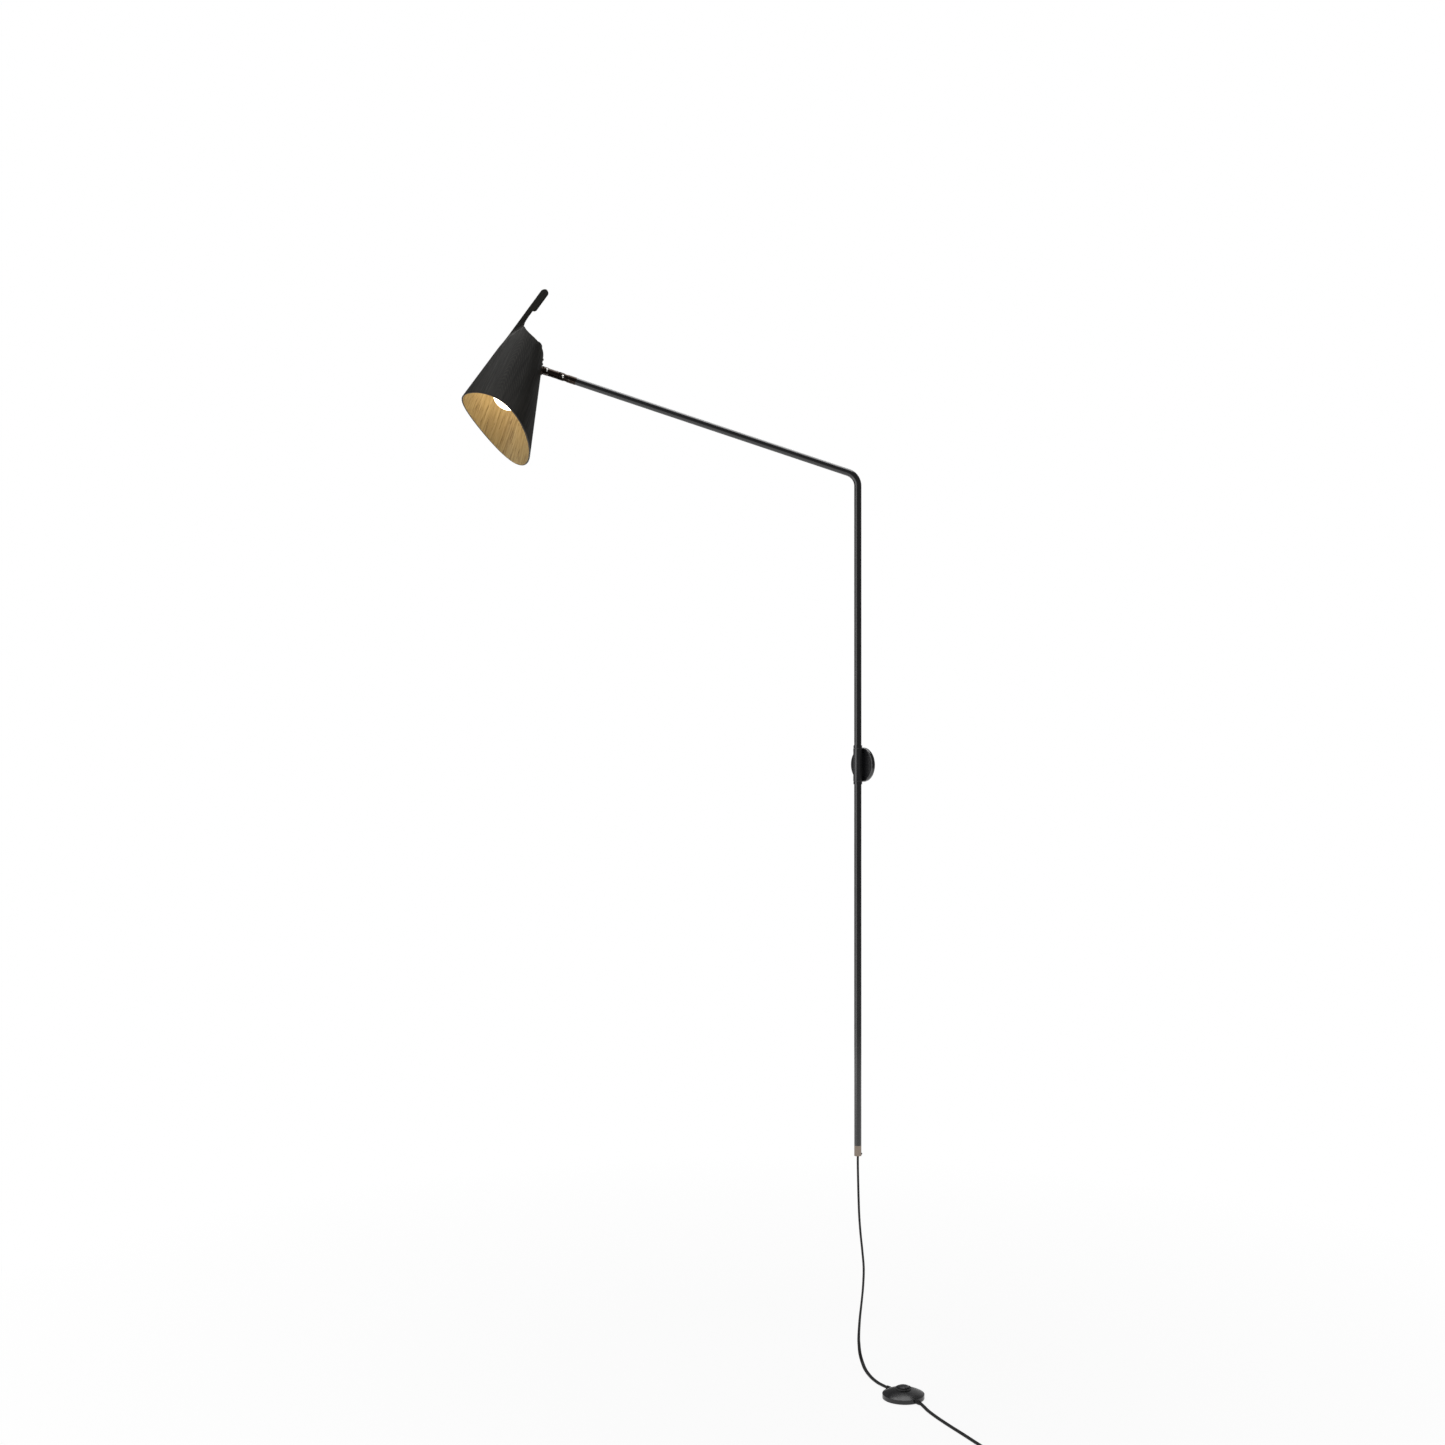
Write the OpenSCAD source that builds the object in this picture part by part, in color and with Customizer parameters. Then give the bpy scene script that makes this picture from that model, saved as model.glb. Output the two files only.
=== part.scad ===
// Swing arm wall lamp: a bent tube turns in a sleeve on the wall and carries a
// folded veneer shade on two knuckles; a flat cord runs to a foot switch and a plug.
// Origin: centre of the wall bracket's back face. -Y points into the room, +Z up.

/* [Wall mount] */
// Diameter of the round cover plate
plate_d = 60; // [56:1:80]
// Depth of the cover plate
plate_t = 6; // [6:0.5:8]
// Distance between the two wall screw holes
screw_spacing = 40; // [36:1:42]
// Diameter of the wall screw holes
screw_hole_d = 4.5; // [4:0.5:5]
// Distance of the tube's axis from the wall
axis_out = 14; // [14:0.5:16]
// Height of the pivot sleeve
sleeve_h = 56; // [46:1:80]

/* [Tube] */
// Outside diameter of the bent tube
tube_d = 12.7; // [12.7:0.1:13]
// Wall thickness of the bent tube
tube_wall = 1.2; // [1:0.1:1.6]
// Height of the bend's corner above the wall plate
riser_top = 506; // [300:1:700]
// Depth of the tube's bottom end below the wall plate
riser_drop = 666; // [300:1:900]
// Length of the sloping arm from the corner to the tube's end
arm_len = 520; // [300:1:700]
// Slope of the arm above the horizontal
arm_rise = 18.5; // [0:0.5:40]
// Distance from the bend's corner to where each straight leg ends
bend_set = 18; // [15:1:40]
// Direction of the arm at rest, turned about the tube's axis
arm_yaw = -126; // [-170:1:-10]

/* [Knuckles] */
// Diameter of the knuckles and the link
knuckle_d = 13.4; // [13:0.1:15]
// Distance from the tube's end to the first pivot
elbow_reach = 24; // [22:1:30]
// Distance between the two pivots
link_len = 30; // [29:1:40]
// Roll of the shade about the arm's axis at rest
head_roll = 21; // [-45:1:45]

/* [Shade] */
// Height of the shade's apex above the second pivot
apex_up = 195; // [190:1:200]
// Distance of the shade's apex beyond the second pivot
apex_out = 53; // [53:0.5:56]
// Slope of the shade's front and back lines
shade_angle = 12.5; // [12:0.5:13]
// Width of the shade's section across, against its depth
shade_width = 1.22; // [1.1:0.01:1.3]
// How much the section narrows towards the front seam
shade_taper = 0.32; // [0.2:0.01:0.4]
// Thickness of the veneer
veneer_t = 2.4; // [2:0.1:3]
// Length of the front seam from the apex to the rim
rim_front = 307; // [300:1:320]
// Length of the back line from the apex to the rim
rim_back = 367; // [350:1:380]
// Rise of the rim's arch at the sides
rim_arch = 5.5; // [2:0.5:10]

/* [Foot switch and cord] */
// Height of the wall plate above the floor
plate_height = 1050; // [900:10:1200]
// Width of the flat cord
cord_w = 6.2; // [5.8:0.1:6.4]
// Thickness of the flat cord
cord_t = 3.8; // [3.4:0.1:4]
// Diameter of the foot switch
switch_d = 70; // [66:1:76]

/* [Hidden] */
$fn = 64;

floor_z = -plate_height;
slack = 0.3;            // gap between bodies that pass each other
fit = 0.05;             // radial clearance of a running fit
cut = 1;                // how far a cutting tool runs past a face

black = [0.07, 0.07, 0.08];
bronze = [0.30, 0.26, 0.24];
steel = [0.62, 0.62, 0.64];
veneer = [0.19, 0.18, 0.16];

// ---- shapes that several pieces share ----

// Solid or bored rod that starts at the origin and runs along local +Z
module rod(d, h, bore = 0) {
    difference() {
        cylinder(d = d, h = h);
        if (bore > 0) translate([0, 0, -cut]) cylinder(d = bore, h = h + 2 * cut);
    }
}

// The same rod along +X or along +Y
module rod_x(d, h, bore = 0) rotate([0, 90, 0]) rod(d, h, bore);
module rod_y(d, h, bore = 0) rotate([-90, 0, 0]) rod(d, h, bore);

// Grub screw that runs inwards along -X from its socket face
module grub(d, len) {
    socket_depth = 1.2;
    difference() {
        translate([-len, 0, 0]) rod_x(d, len);
        translate([-socket_depth, 0, 0]) rotate([0, 90, 0])
            cylinder(d = d * 0.55, h = cut + socket_depth, $fn = 6);
    }
}

// Hexagonal nut along +X
module nut_x(flats, h, bore) {
    difference() {
        rotate([0, 90, 0]) cylinder(d = flats / cos(30), h = h, $fn = 6);
        translate([-cut, 0, 0]) rod_x(bore, h + 2 * cut);
    }
}

// Domed screw: its head stands on the YZ plane along +X and its shank runs along -X
module dome_screw(head_d, head_h, shank_d, len) {
    ball_r = (pow(head_d / 2, 2) + pow(head_h, 2)) / (2 * head_h);
    rotate([0, 90, 0]) rotate_extrude() {
        intersection() {
            translate([0, head_h - ball_r]) circle(r = ball_r);
            square([head_d / 2, head_h]);
        }
        translate([0, -len]) square([shank_d / 2, len + 0.5]);
    }
}

// ---- frames ----

// Local +Z points into the room from the wall, local +Y up
module on_wall() rotate([90, 0, 0]) children();

// Local +X points out along the arm, +Z up; the origin is on the tube's axis
module arm_frame() translate([0, -axis_out, 0]) rotate([0, 0, arm_yaw]) children();

// Local +X runs up the sloping arm, s from the bend's corner
module on_arm(s) arm_frame() translate([0, 0, riser_top]) rotate([0, -arm_rise, 0])
    translate([s, 0, 0]) children();

elbow_s = arm_len + elbow_reach;
tilt_s = elbow_s + link_len;

// Frame of the swivel and the shade: the second pivot lies along local Y
module head_frame() on_arm(tilt_s) rotate([head_roll, 0, 0]) children();

// Frame at the shade's apex, which opens along -Z with its seam at +X
module shade_frame() head_frame() translate([apex_out, 0, apex_up]) children();

// ---- wall mount ----

bracket_t = 4;
bracket_d = plate_d - 6;
skin_t = 1.6;
pad_w = 11;
pad_h = 40;
sleeve_d = 16;
bush_d = 14.2;
bush_len = 12;
flange_t = 1.2;
sleeve_screw_y = 11;
sleeve_screw_d = 4;

module wall_bracket() color(steel) on_wall() difference() {
    cylinder(d = bracket_d, h = bracket_t);
    for (side = [-1, 1]) {
        translate([side * screw_spacing / 2, 0, -cut]) cylinder(d = screw_hole_d, h = bracket_t + 2 * cut);
        translate([0, side * sleeve_screw_y, -cut]) {
            cylinder(d = sleeve_screw_d + 0.1, h = bracket_t + 2 * cut);
            cylinder(d = 7.6, h = 2.4 + cut);
        }
    }
    translate([0, -bracket_d / 2, bracket_t / 2]) rotate([-90, 0, 0]) cylinder(d = 2.5, h = 3);
}

module cover_plate() color(black) on_wall() difference() {
    rim_r = 2.5;
    rotate_extrude() {
        translate([0, slack]) square([plate_d / 2 - rim_r, plate_t - slack]);
        translate([0, slack]) square([plate_d / 2, plate_t - slack - rim_r]);
        translate([plate_d / 2 - rim_r, plate_t - rim_r]) circle(r = rim_r);
    }
    translate([0, 0, -cut]) cylinder(d = bracket_d + 0.2, h = plate_t - skin_t + cut);
    translate([-pad_w / 2 - 0.1, -pad_h / 2 - 0.1, 0]) cube([pad_w + 0.2, pad_h + 0.2, plate_t + cut]);
    translate([0, -plate_d / 2 - cut, bracket_t / 2]) rotate([-90, 0, 0]) cylinder(d = 2.5, h = 6);
}

module cover_screw() color(bronze) on_wall()
    translate([0, 0.4 - plate_d / 2, bracket_t / 2]) rotate([0, 0, -90]) grub(2.5, 4.5);

module pivot_sleeve() color(black) difference() {
    union() {
        translate([0, -axis_out, -sleeve_h / 2]) cylinder(d = sleeve_d, h = sleeve_h);
        on_wall() translate([-pad_w / 2, -pad_h / 2, bracket_t])
            cube([pad_w, pad_h, axis_out - bracket_t - 4]);
    }
    translate([0, -axis_out, -sleeve_h / 2 - cut]) cylinder(d = bush_d, h = sleeve_h + 2 * cut);
    on_wall() for (side = [-1, 1])
        translate([0, side * sleeve_screw_y, bracket_t - cut]) cylinder(d = sleeve_screw_d, h = 3);
}

module sleeve_screws() color(steel) on_wall() for (side = [-1, 1])
    translate([0, side * sleeve_screw_y, slack]) {
        cylinder(d = 7.4, h = 2);
        cylinder(d = sleeve_screw_d, h = bracket_t + 1.6);
    }

// Flanged bush with its flange at the origin and its body along -Z
module bush() difference() {
    union() {
        cylinder(d = sleeve_d - 0.4, h = flange_t);
        translate([0, 0, -bush_len]) cylinder(d = bush_d, h = bush_len + 0.1);
    }
    translate([0, 0, -bush_len - cut]) cylinder(d = tube_d + 2 * fit, h = bush_len + flange_t + 2 * cut);
}

module upper_bush() color("dimgray") translate([0, -axis_out, sleeve_h / 2]) bush();
module lower_bush() color("dimgray") translate([0, -axis_out, -sleeve_h / 2]) mirror([0, 0, 1]) bush();

// ---- tube ----

bore_d = tube_d - 2 * tube_wall;
bend_turn = 90 - arm_rise;
bend_r = bend_set / tan(bend_turn / 2);
leg_top = riser_top - bend_set;

// The bend's three stretches: down the leg and up the slope along local +Z, and the arc between them
module down_leg() arm_frame() translate([0, 0, leg_top]) rotate([180, 0, 0]) children();
module at_bend() arm_frame() translate([bend_r, 0, leg_top])
    rotate([90, 0, 0]) rotate([0, 0, 180 - bend_turn]) children();
module up_slope() at_bend() translate([bend_r, 0, 0]) rotate([90, 0, 0]) children();

bend_proud = 0.02;      // the bend's wall is this much thicker on each side than the legs'
bend_lap = 0.2;         // how far each leg runs into the bend

module bent_tube() color(black) {
    down_leg() translate([0, 0, -bend_lap]) rod(tube_d, riser_drop + leg_top + bend_lap, bore_d);
    at_bend() rotate_extrude(angle = bend_turn) translate([bend_r, 0]) difference() {
        circle(d = tube_d + 2 * bend_proud);
        circle(d = bore_d - 2 * bend_proud);
    }
    up_slope() translate([0, 0, -bend_lap]) rod(tube_d, arm_len - bend_set + bend_lap, bore_d);
}

collar_d = 15.4;
collar_h = 4.5;
collar_z = sleeve_h / 2 + flange_t + slack;

module collar() difference() {
    rod(collar_d, collar_h, tube_d);
    translate([0, 0, collar_h / 2]) rotate([0, 90, 0]) cylinder(d = 2.5, h = collar_d);
}

module upper_collar() color(black) arm_frame() translate([0, 0, collar_z]) collar();
module lower_collar() color(black) arm_frame() translate([0, 0, -collar_z - collar_h]) collar();
module collar_screws() color(bronze) arm_frame() for (side = [-1, 1])
    translate([collar_d / 2, 0, side * (collar_z + collar_h / 2)]) grub(2.5, (collar_d - tube_d) / 2);

ferrule_h = 18;
ferrule_z = -riser_drop - ferrule_h;
ferrule_bore = 8.4;
ferrule_screw_z = ferrule_z + 3.4;

module bottom_ferrule() color(bronze) arm_frame() difference() {
    union() {
        translate([0, 0, ferrule_z]) cylinder(d = tube_d, h = ferrule_h);
        translate([0, 0, ferrule_z]) cylinder(d = bore_d, h = ferrule_h + 10);
    }
    translate([0, 0, ferrule_z - cut]) cylinder(d = ferrule_bore, h = ferrule_h + 10 + 2 * cut);
    translate([-tube_d, 0, ferrule_screw_z]) rod_x(2.5, tube_d);
}

module ferrule_screw() color(bronze) arm_frame()
    translate([-tube_d / 2, 0, ferrule_screw_z]) rotate([0, 0, 180]) dome_screw(4, 1.4, 2.5, 1.9);

// Cross-section of the flat cord: two round cores side by side
module cord_section(grow = 0) {
    for (side = [-1, 1]) translate([side * (cord_w - cord_t) / 2, 0]) circle(d = cord_t + grow, $fn = 32);
    square([cord_w - cord_t, cord_t + grow], center = true);
}

module cord_grip() color("black") arm_frame() translate([0, 0, ferrule_z]) difference() {
    cylinder(d = ferrule_bore, h = ferrule_h);
    translate([0, 0, -cut]) linear_extrude(ferrule_h + 2 * cut) rotate(90) cord_section(0.05);
}

module tube_flex() color("black") {
    down_leg() linear_extrude(leg_top - ferrule_z - slack) rotate(90) cord_section();
    at_bend() rotate_extrude(angle = bend_turn) translate([bend_r, 0]) rotate(90) cord_section();
    up_slope() linear_extrude(arm_len - bend_set + 8) rotate(90) cord_section();
}

// ---- knuckles: pivot along local Y at the origin, fork on the -X side ----

eye_r = knuckle_d / 2;
slot_half = 3.5;
tongue_half = 3;
pin_d = 4;
shoulder = eye_r + 1.3;     // from the pivot to the round bars' full section
flat_y = 5.7;               // where the screw's head and nut seat

// Fork whose round bar starts at -back
module fork(back) difference() {
    intersection() {
        translate([-back, 0, 0]) rod_x(knuckle_d, back + eye_r);
        union() {
            translate([-back, -eye_r, -eye_r]) cube([back, knuckle_d, knuckle_d]);
            translate([0, -eye_r, 0]) rod_y(knuckle_d, knuckle_d);
        }
    }
    translate([-shoulder, -slot_half, -knuckle_d]) cube([2 * knuckle_d, 2 * slot_half, 2 * knuckle_d]);
    translate([0, -knuckle_d, 0]) rod_y(pin_d, 2 * knuckle_d);
    for (side = [0, 180]) rotate([side, 0, 0]) translate([0, flat_y, 0]) rod_y(7.6, knuckle_d);
}

// Tongue that a fork's screw passes through; it reaches to +front
module tongue(front) difference() {
    union() {
        translate([0, -tongue_half, 0]) rod_y(2 * eye_r - 0.4, 2 * tongue_half);
        translate([0, -tongue_half, -eye_r + 0.2]) cube([front, 2 * tongue_half, 2 * eye_r - 0.4]);
    }
    translate([0, -knuckle_d, 0]) rod_y(pin_d + 2 * fit, 2 * knuckle_d);
}

module knuckle_screw() translate([0, flat_y, 0]) rotate([0, 0, 90])
    dome_screw(5.6, 1.9, pin_d, 2 * flat_y + 2.4);
module knuckle_nut() translate([0, -flat_y, 0]) rotate([0, 0, -90]) nut_x(6, 2.2, pin_d);
module knuckle_washers() for (side = [0, 180]) rotate([side, 0, 0])
    translate([0, tongue_half + fit, 0]) rod_y(10, slot_half - tongue_half - fit, pin_d);

module arm_fork() color(bronze) on_arm(elbow_s) difference() {
    union() {
        fork(elbow_reach);
        translate([-elbow_reach - 15, 0, 0]) rod_x(bore_d, 16);
    }
    translate([-elbow_reach - 16, 0, 0]) rod_x(7, elbow_reach + 16 - shoulder + cut);
    rotate([-20, 0, 0]) translate([-elbow_reach + 12, 0, 0]) rod_y(3, knuckle_d);
}

module arm_fork_screw() color(steel) on_arm(elbow_s) rotate([-20, 0, 0])
    translate([-elbow_reach + 12, eye_r + 0.4, 0]) rotate([0, 0, 90]) grub(3, 3);

module elbow_screw() color(steel) on_arm(elbow_s) knuckle_screw();
module elbow_nut() color(steel) on_arm(elbow_s) knuckle_nut();
module elbow_washers() color(steel) on_arm(elbow_s) knuckle_washers();

barrel_len = 8;
barrel_end = shoulder + barrel_len;
spindle_d = 8;
spindle_len = 6.4;
groove_x = barrel_end - 3.6;

module link_barrel() color(bronze) on_arm(elbow_s) difference() {
    union() {
        tongue(shoulder + 0.5);
        translate([shoulder, 0, 0]) rod_x(knuckle_d, barrel_len);
    }
    translate([barrel_end - spindle_len - 0.5, 0, 0]) rod_x(spindle_d + 2 * fit, spindle_len + 2);
    translate([groove_x, 0, 0]) rod(2.5, knuckle_d);
}

module link_set_screw() color(steel) on_arm(elbow_s)
    translate([groove_x, 0, eye_r + 0.2]) rotate([0, -90, 0]) grub(2.5, eye_r + 0.2 - spindle_d / 2 + 0.4);

module swivel_fork() color(bronze) head_frame() {
    back = link_len - barrel_end - 0.1;
    fork(back);
    translate([-back - spindle_len, 0, 0]) difference() {
        rod_x(spindle_d, spindle_len + 0.5);
        translate([groove_x - barrel_end + spindle_len - 1.6, 0, 0])
            rod_x(spindle_d + cut, 3.2, spindle_d - 1.2);
    }
}

module shade_screw() color(steel) head_frame() knuckle_screw();
module shade_nut() color(steel) head_frame() knuckle_nut();
module shade_washers() color(steel) head_frame() knuckle_washers();

// ---- shade: an egg-shaped cone folded from one sheet, joined at its front seam ----

shade_sides = 96;
function egg(r, a) = [r * cos(a), shade_width * r * sin(a) * (1 - shade_taper * cos(a))];
function egg_slope(a) = [-sin(a),
    shade_width * (cos(a) * (1 - shade_taper * cos(a)) + shade_taper * pow(sin(a), 2))];
function egg_normal(a) = [egg_slope(a)[1], -egg_slope(a)[0]] / norm(egg_slope(a));
function egg_ring(depth, inset) = [for (i = [0 : shade_sides - 1])
    let (a = i * 360 / shade_sides, p = egg(depth * tan(shade_angle), a) - inset * egg_normal(a))
        [p[0], p[1], -depth]];

module egg_cone(top, bottom, inset) {
    n = shade_sides;
    polyhedron(
        points = concat(egg_ring(top, inset), egg_ring(bottom, inset)),
        faces = concat(
            [[for (i = [n - 1 : -1 : 0]) i]],
            [[for (i = [0 : n - 1]) n + i]],
            [for (i = [0 : n - 1]) [i, (i + 1) % n, n + (i + 1) % n, n + i]]));
}

// Place on the shade's outside at angle a from the seam; local +X points outwards
module on_shade(a, depth) {
    p = egg(depth * tan(shade_angle), a);
    n = egg_normal(a);
    shade_frame() translate([p[0], p[1], -depth]) rotate([0, 0, atan2(n[1], n[0])])
        rotate([0, -atan((p * n) / depth), 0]) children();
}

// Outline in the shade's plane of symmetry, drawn through its whole width
module through_shade(width = 400) rotate([90, 0, 0]) linear_extrude(width, center = true) children();

front_rim = rim_front * [sin(shade_angle), -cos(shade_angle)];
back_rim = rim_back * [-sin(shade_angle), -cos(shade_angle)];
rim_chord = norm(front_rim - back_rim);
rim_r = (pow(rim_chord / 2, 2) + pow(rim_arch, 2)) / (2 * rim_arch);
rim_dir = (front_rim - back_rim) / rim_chord;
rim_centre = (front_rim + back_rim) / 2 + (rim_r - rim_arch) * [rim_dir[1], -rim_dir[0]];

top_depth = 166.5;      // the straight part of the top edge
sweep_r = 50;           // curve that sweeps from the top edge up to the tail
sweep_x = -35;
sweep_depth = top_depth - sweep_r;

tail_w = 14.5;          // handle at the tail's end
tail_tip = 39;
tail_step = 88;
step_r = 5;
neck_w = 9.5;
neck_end = 120;
keel_end = 150;
tail_t = 2 * veneer_t;

// Tail's outline: the seam is the line x = 0 and runs down from the apex
module tail_outline() {
    translate([-tail_w / 2, -tail_tip - tail_w / 2]) circle(d = tail_w);
    translate([-tail_w, step_r - tail_step]) square([tail_w, tail_step - step_r - tail_tip - tail_w / 2]);
    translate([step_r - tail_w, step_r - tail_step]) circle(r = step_r);
    translate([-neck_w, -tail_step]) square([neck_w, step_r + 1]);
    polygon([
        [-neck_w, -tail_step], [0, -tail_step], [0, -keel_end],
        [-veneer_t, -keel_end], [-neck_w, -neck_end]
    ]);
}

stem_d = 8;
pin_gap = apex_out - apex_up * tan(shade_angle);    // from the pivot to the veneer along the arm
pin_out = pin_gap * cos(shade_angle);
pin_lift = pin_gap * sin(shade_angle);
bracket_screw_depths = [175, 184];

module shade_shell() color(veneer) difference() {
    shade_frame() {
        difference() {
            egg_cone(100, 380, 0);
            egg_cone(99, 381, veneer_t);
            through_shade() {
                translate([sweep_x, -sweep_depth]) circle(r = sweep_r, $fn = 128);
                translate([-200, -top_depth]) square([200 + sweep_x, 200]);
                translate([-200, -sweep_depth]) square([400, 200]);
                translate(rim_centre) circle(r = rim_r, $fn = 360);
            }
        }
        through_shade(tail_t) rotate(shade_angle) tail_outline();
    }
    on_shade(180, apex_up) translate([-5, 0, -pin_lift]) rod_x(stem_d + 0.2, 10);
    for (depth = bracket_screw_depths) on_shade(180, depth) translate([-5, 0, 0]) rod_x(3.2, 10);
}

// ---- fittings on the shade ----

module shade_knuckle() color(bronze) difference() {
    union() {
        on_shade(180, apex_up) translate([0, 0, -pin_lift]) {
            rod_x(15, 1.6);
            translate([-8, 0, 0]) rod_x(stem_d, 8.5);
        }
        intersection() {
            head_frame() tongue(pin_out + 3);
            on_shade(180, apex_up) translate([0.5, -knuckle_d, -2 * knuckle_d])
                cube([30, 2 * knuckle_d, 4 * knuckle_d]);
        }
    }
    on_shade(180, apex_up) translate([-9, 0, -pin_lift]) rod_x(5, 9);
}

bracket_gap = veneer_t + 0.8;
sheet_t = 2;

module stem_nut() color(steel) on_shade(180, apex_up)
    translate([-bracket_gap - sheet_t - 2.6, 0, -pin_lift]) nut_x(12, 2.5, stem_d);

side_tab_a = 128;       // where the shelf's arms reach the veneer
side_tab_depth = 178.5;
holder_x = -8;
shelf_depth = 172;
nut_room = [2.51, 8, 8];    // cut from the shelf beside the upper screw's nut

// Tab that stands inside the veneer; its middle is at the place's own height
module tab(width, low, high) translate([-bracket_gap - sheet_t, -width / 2, low])
    cube([sheet_t, width, high - low]);

module shade_bracket() color(black) difference() {
    union() {
        shade_frame() translate([0, 0, -shelf_depth - sheet_t]) {
            translate([holder_x, 0, 0]) cylinder(d = 36, h = sheet_t);
            translate([-34.5, -10, 0]) cube([28, 20, sheet_t]);
            for (side = [-1, 1]) translate([holder_x, 0, 0]) rotate([0, 0, side * 107])
                translate([0, -4, 0]) cube([42, 8, sheet_t]);
        }
        on_shade(180, apex_up) tab(20, -12, 24);
        for (side = [-1, 1]) on_shade(side * side_tab_a, side_tab_depth) tab(10, -6, 6);
    }
    on_shade(180, apex_up) translate([-9, 0, -pin_lift]) rod_x(stem_d + 0.2, 9);
    for (depth = bracket_screw_depths) on_shade(180, depth) translate([-9, 0, 0]) rod_x(3.2, 9);
    on_shade(180, bracket_screw_depths[0]) translate([-bracket_gap - sheet_t - 2.5, -4, -4]) cube(nut_room);
    shade_frame() {
        translate([holder_x, 0, -shelf_depth - 2 * sheet_t]) cylinder(d = 10.2, h = 3 * sheet_t);
        translate([flex_x, 0, -shelf_depth - 2 * sheet_t]) cylinder(d = 5, h = 3 * sheet_t);
    }
}

module bracket_places() for (depth = bracket_screw_depths) on_shade(180, depth) children();

module bracket_screws() color(bronze) bracket_places() dome_screw(5, 1.6, 3, 8);
module bracket_nuts() color(steel) bracket_places()
    translate([-bracket_gap - sheet_t - 2, 0, 0]) nut_x(5.5, 2, 3);

// ---- lampholder and bulb, on a vertical line in the shade's frame ----

module in_shade(depth) shade_frame() translate([holder_x, 0, -depth]) children();

cap_top = shelf_depth + sheet_t + 3.2;
cap_end = 192;
holder_end = 214;
holder_d = 36;

module holder_nipple() color(steel) in_shade(182) rod(10, 20, 7);
module holder_nuts() color(steel) {
    in_shade(shelf_depth) rotate([0, -90, 0]) nut_x(13, 3, 10);
    in_shade(cap_top) rotate([0, -90, 0]) nut_x(13, 3, 10);
}

module holder_cap() color(black) in_shade(cap_end) rotate_extrude() difference() {
    height = cap_end - cap_top;
    union() {
        square([holder_d / 2, height - 6]);
        translate([0, 0]) square([holder_d / 2 - 6, height]);
        translate([holder_d / 2 - 6, height - 6]) circle(r = 6);
    }
    translate([0, -cut]) square([holder_d / 2 - 2, height - 6 + cut]);
    translate([0, -cut]) square([5.1, height + 2 * cut]);
}

module holder_body() color(black) in_shade(holder_end) {
    difference() {
        rod(holder_d, holder_end - cap_end, holder_d - 4);
        translate([0, 0, 5]) rod(holder_d + cut, 1.5, holder_d - 1.6);
    }
}

insert_end = holder_end - 2;
insert_top = 189.5;         // where the bulb's chamber ends

module holder_insert() color("ivory") in_shade(insert_end) difference() {
    cylinder(d = holder_d - 4.4, h = 26);
    translate([0, 0, -cut]) cylinder(d = 28, h = insert_end - insert_top + cut);
    translate([0, 0, insert_end - insert_top - cut]) cylinder(d = 10.6, h = 6);
}

module holder_contact() color("gold") in_shade(insert_top + 1.6) cylinder(d = 9, h = 1.6);

bulb_r = 30;
bulb_centre = 258;
neck_top = 216;             // where the glass ends
base_d = 26.2;
base_end = 212.5;
base_top = 193;

// Glass outline: a globe that narrows into its collar
module bulb_outline(inset) {
    r = bulb_r - inset;
    neck_r = 15 - inset;
    neck = bulb_centre - neck_top;
    circle(r = r);
    polygon([[0, 0], [r * cos(25), r * sin(25)], [neck_r + 4, neck - 14], [neck_r + 1, neck - 6],
        [neck_r, neck], [0, neck]]);
}

module bulb_glass() color("white") in_shade(bulb_centre) rotate_extrude() intersection() {
    difference() {
        bulb_outline(0);
        bulb_outline(1.2);
    }
    translate([0, -2 * bulb_r]) square([2 * bulb_r, 4 * bulb_r]);
}

module bulb_collar() color("white") in_shade(neck_top) difference() {
    cylinder(d1 = 31, d2 = 27.4, h = neck_top - base_end);
    translate([0, 0, -cut]) cylinder(d = 20, h = neck_top - base_end + 2 * cut);
}

module bulb_base() color(steel) in_shade(base_end) {
    rod(base_d, base_end - base_top, base_d - 1.6);
    translate([0, 0, base_end - base_top - 0.5]) cylinder(d1 = base_d, d2 = 12, h = 2.2);
}

// Two-core flex from the stem, over an arch and down into the nipple
flex_x = -28.5;
flex_low = 192.5;           // where it bends into the stem
flex_bend = 6;
arch_r = (holder_x - flex_x) / 2;
arch_depth = 155;
flex_end = 181;
flex_start = 6.5;           // its straight length in the stem
flex_d = 3;

module head_flex() color("black") shade_frame() {
    translate([flex_x - flex_bend - flex_start, 0, -flex_low - flex_bend]) rod_x(flex_d, flex_start);
    translate([flex_x - flex_bend, 0, -flex_low]) rotate([90, 0, 0]) rotate([0, 0, -90])
        rotate_extrude(angle = 90) translate([flex_bend, 0]) circle(d = flex_d);
    translate([flex_x, 0, -flex_low]) cylinder(d = flex_d, h = flex_low - arch_depth);
    translate([flex_x + arch_r, 0, -arch_depth]) rotate([90, 0, 0]) rotate_extrude(angle = 180)
        translate([arch_r, 0]) circle(d = flex_d);
    translate([holder_x, 0, -flex_end]) cylinder(d = flex_d, h = flex_end - arch_depth);
}

// ---- foot switch: stands on the floor, cord along local X ----

switch_at = [175, -62];
switch_yaw = -4;
switch_r = switch_d / 2;
gland_z = 5;
skirt_h = 8;
dome_top = 17;
button_d = 20;
button_top = 22;
switch_screw_y = 24;

module switch_frame() translate([switch_at[0], switch_at[1], floor_z])
    rotate([0, 0, switch_yaw]) children();

// Half outline of the dome and its skirt, down to the height low
module dome_outline(inset, low) {
    rise = dome_top - skirt_h;
    ball_r = (pow(switch_r, 2) + pow(rise, 2)) / (2 * rise);
    intersection() {
        translate([0, dome_top - ball_r]) circle(r = ball_r - inset, $fn = 256);
        translate([0, low]) square([switch_r - inset, 2 * dome_top]);
    }
}

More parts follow.
